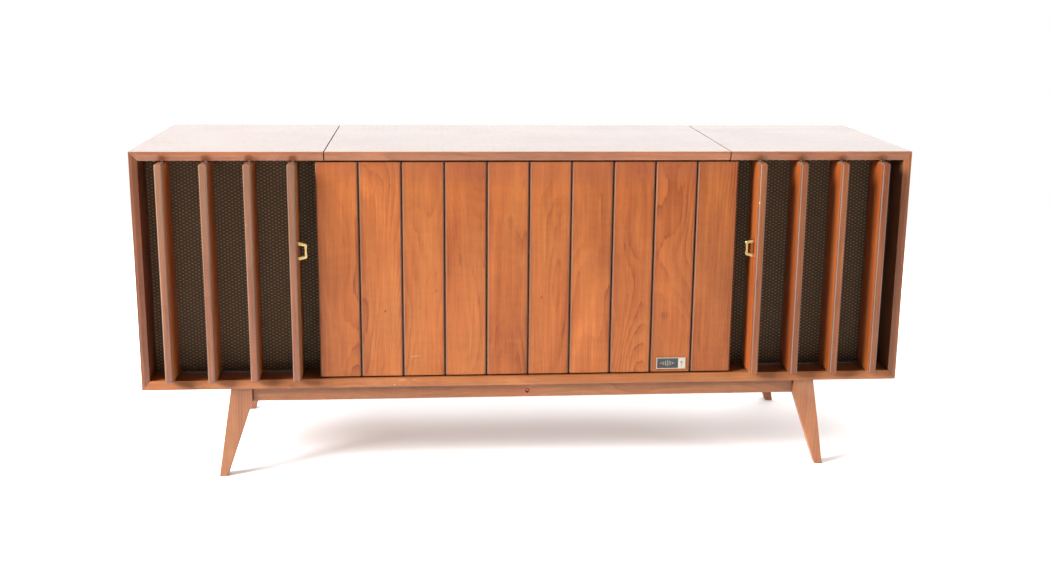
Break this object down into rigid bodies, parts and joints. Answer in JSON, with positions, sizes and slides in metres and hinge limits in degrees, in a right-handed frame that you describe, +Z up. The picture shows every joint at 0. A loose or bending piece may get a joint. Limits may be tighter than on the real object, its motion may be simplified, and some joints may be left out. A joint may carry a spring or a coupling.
{
  "type": "radio phonograph console",
  "caption": "Long low walnut console on splayed legs: slatted front, turning louvers over speaker cloth at each end, and a rear-hinged lid over a record changer and radio.",
  "frame": {"origin": "on the floor, under the middle of the whole box", "axes": "+X to the right seen from the front, +Y to the back, +Z up"},
  "size_m": [1.524, 0.4524, 0.66],
  "materials": {
    "walnut": "satin oiled walnut",
    "walnut_front": "satin oiled walnut",
    "inner_wood": "matt",
    "hardboard": "matt pressed board",
    "grille_cloth": "woven",
    "brass": "lacquered",
    "steel": "plated",
    "badge_metal": "satin",
    "jewel": "clear red",
    "paper": "pressed paper",
    "speaker_metal": "grey enamel",
    "changer_enamel": "semi-gloss enamel",
    "platter_metal": "semi-gloss enamel",
    "arm_plastic": "cream moulded",
    "panel_metal": "brushed gold tone",
    "knob": "dark brown moulded",
    "pointer": "red enamel",
    "terminal_board": "laminate"
  },
  "bodies": {
    "root": {"case_left_side": "walnut", "case_right_side": "walnut", "case_bottom": "walnut", "top_left_panel": "walnut", "top_right_panel": "walnut", "front_apron": "walnut", "hidden_aprons": "walnut", "front_left_leg": "walnut", "front_right_leg": "walnut", "back_left_leg": "walnut", "back_right_leg": "walnut", "front_slats": "walnut_front", "partitions": "inner_wood", "rear_rail": "inner_wood", "front_backing_panel": "inner_wood", "speaker_baffles": "inner_wood", "deck_board": "inner_wood", "back_panel": "hardboard", "left_grille_cloth": "grille_cloth", "right_grille_cloth": "grille_cloth", "louver_pivot_pins": "steel", "back_panel_screws": "steel", "spindle": "steel", "case_hinge_leaf": "steel", "receiver_chassis": "steel", "badge": "badge_metal", "pilot_jewel": "jewel", "woofer_cones": "paper", "woofer_baskets": "speaker_metal", "tweeter_horns": "speaker_metal", "changer_base": "changer_enamel", "control_panel": "panel_metal", "terminal_panel": "terminal_board"},
    "lid": {"lid": "walnut", "lid_hinge_leaf": "steel", "lid_quadrant_stay": "steel"},
    "platter": {"platter": "platter_metal"},
    "tonearm_turret": {"tonearm_turret": "arm_plastic"},
    "tonearm": {"tonearm": "arm_plastic"},
    "record_overarm": {"record_overarm": "arm_plastic"},
    "changer_knob": {"changer_knob": "knob"},
    "volume_knob": {"volume_knob": "knob"},
    "tone_knob": {"tone_knob": "knob"},
    "tuning_knob": {"tuning_knob": "knob"},
    "dial_pointer": {"dial_pointer": "pointer"},
    "phono_button": {"phono_button": "knob"},
    "am_button": {"am_button": "knob"},
    "fm_button": {"fm_button": "knob"},
    "left_tie_strip": {"left_tie_strip": "steel"},
    "right_tie_strip": {"right_tie_strip": "steel"},
    "left_louver_1": {"left_louver_1": "walnut_front"},
    "right_louver_1": {"right_louver_1": "walnut_front", "right_pull": "brass"},
    "left_louver_2": {"left_louver_2": "walnut_front"},
    "right_louver_2": {"right_louver_2": "walnut_front"},
    "left_louver_3": {"left_louver_3": "walnut_front"},
    "right_louver_3": {"right_louver_3": "walnut_front"},
    "left_louver_4": {"left_louver_4": "walnut_front", "left_pull": "brass"},
    "right_louver_4": {"right_louver_4": "walnut_front"}
  },
  "joints": [
    {"name": "lid_hinge", "type": "hinge", "parent": "root", "child": "lid", "pos_m": [0, 0.22375, 0.6412], "axis": [-1, 0, 0], "range_deg": [0, 75]},
    {"name": "left_louver_1_turn", "type": "hinge", "parent": "root", "child": "left_louver_1", "pos_m": [-0.70337, -0.1875, 0.42], "axis": [0, 0, -1], "range_deg": [0, 90]},
    {"name": "left_louver_2_turn", "type": "hinge", "parent": "root", "child": "left_louver_2", "pos_m": [-0.62138, -0.1875, 0.42], "axis": [0, 0, -1], "range_deg": [0, 90]},
    {"name": "left_louver_3_turn", "type": "hinge", "parent": "root", "child": "left_louver_3", "pos_m": [-0.53938, -0.1875, 0.42], "axis": [0, 0, -1], "range_deg": [0, 90]},
    {"name": "left_louver_4_turn", "type": "hinge", "parent": "root", "child": "left_louver_4", "pos_m": [-0.45737, -0.1875, 0.42], "axis": [0, 0, -1], "range_deg": [0, 90]},
    {"name": "left_tie_strip_pivot", "type": "hinge", "parent": "left_louver_4", "child": "left_tie_strip", "pos_m": [-0.45737, -0.1555, 0.205], "axis": [0, 0, -1], "range_deg": [-90, 0]},
    {"name": "right_louver_1_turn", "type": "hinge", "parent": "root", "child": "right_louver_1", "pos_m": [0.45737, -0.1875, 0.42], "axis": [0, 0, 1], "range_deg": [0, 90]},
    {"name": "right_louver_2_turn", "type": "hinge", "parent": "root", "child": "right_louver_2", "pos_m": [0.53938, -0.1875, 0.42], "axis": [0, 0, 1], "range_deg": [0, 90]},
    {"name": "right_louver_3_turn", "type": "hinge", "parent": "root", "child": "right_louver_3", "pos_m": [0.62138, -0.1875, 0.42], "axis": [0, 0, 1], "range_deg": [0, 90]},
    {"name": "right_louver_4_turn", "type": "hinge", "parent": "root", "child": "right_louver_4", "pos_m": [0.70337, -0.1875, 0.42], "axis": [0, 0, 1], "range_deg": [0, 90]},
    {"name": "right_tie_strip_pivot", "type": "hinge", "parent": "right_louver_1", "child": "right_tie_strip", "pos_m": [0.45737, -0.1555, 0.205], "axis": [0, 0, 1], "range_deg": [-90, 0]},
    {"name": "platter_spin", "type": "hinge", "parent": "root", "child": "platter", "pos_m": [-0.222, 0.02, 0.571], "axis": [0, 0, -1], "continuous": true},
    {"name": "tonearm_swing", "type": "hinge", "parent": "root", "child": "tonearm_turret", "pos_m": [-0.052, 0.11, 0.575], "axis": [0, 0, -1], "range_deg": [0, 48]},
    {"name": "tonearm_lift", "type": "hinge", "parent": "tonearm_turret", "child": "tonearm", "pos_m": [-0.052, 0.11, 0.599], "axis": [-1, 0, 0], "range_deg": [0, 8]},
    {"name": "overarm_swing", "type": "hinge", "parent": "root", "child": "record_overarm", "pos_m": [-0.335, 0.13, 0.6], "axis": [0, 0, 1], "range_deg": [0, 62]},
    {"name": "changer_knob_turn", "type": "hinge", "parent": "root", "child": "changer_knob", "pos_m": [-0.34, -0.112, 0.57], "axis": [0, 0, -1], "range_deg": [0, 135]},
    {"name": "volume_turn", "type": "hinge", "parent": "root", "child": "volume_knob", "pos_m": [0.06, -0.07, 0.566], "axis": [0, 0, -1], "range_deg": [0, 300]},
    {"name": "tone_turn", "type": "hinge", "parent": "root", "child": "tone_knob", "pos_m": [0.124, -0.07, 0.566], "axis": [0, 0, -1], "range_deg": [-150, 150]},
    {"name": "tuning_turn", "type": "hinge", "parent": "root", "child": "tuning_knob", "pos_m": [0.326, -0.07, 0.566], "axis": [0, 0, -1], "range_deg": [-630, 630]},
    {"name": "dial_pointer_slide", "type": "slide", "parent": "root", "child": "dial_pointer", "axis": [1, 0, 0], "range_m": [-0.136, 0.136]},
    {"name": "phono_button_press", "type": "slide", "parent": "root", "child": "phono_button", "axis": [0, 0, -1], "range_m": [0, 0.004], "stiffness_N_per_m": 300, "springref_m": -0.002},
    {"name": "am_button_press", "type": "slide", "parent": "root", "child": "am_button", "axis": [0, 0, -1], "range_m": [0, 0.004], "stiffness_N_per_m": 300, "springref_m": -0.002},
    {"name": "fm_button_press", "type": "slide", "parent": "root", "child": "fm_button", "axis": [0, 0, -1], "range_m": [0, 0.004], "stiffness_N_per_m": 300, "springref_m": -0.002}
  ],
  "couplings": [
    {"joint": "left_louver_1_turn", "follows": "left_louver_4_turn", "ratio": 1},
    {"joint": "left_louver_2_turn", "follows": "left_louver_4_turn", "ratio": 1},
    {"joint": "left_louver_3_turn", "follows": "left_louver_4_turn", "ratio": 1},
    {"joint": "left_tie_strip_pivot", "follows": "left_louver_4_turn", "ratio": -1},
    {"joint": "right_louver_2_turn", "follows": "right_louver_1_turn", "ratio": 1},
    {"joint": "right_louver_3_turn", "follows": "right_louver_1_turn", "ratio": 1},
    {"joint": "right_louver_4_turn", "follows": "right_louver_1_turn", "ratio": 1},
    {"joint": "right_tie_strip_pivot", "follows": "right_louver_1_turn", "ratio": -1},
    {"joint": "dial_pointer_slide", "follows": "tuning_turn", "m_per_rad": 0.012277}
  ]
}
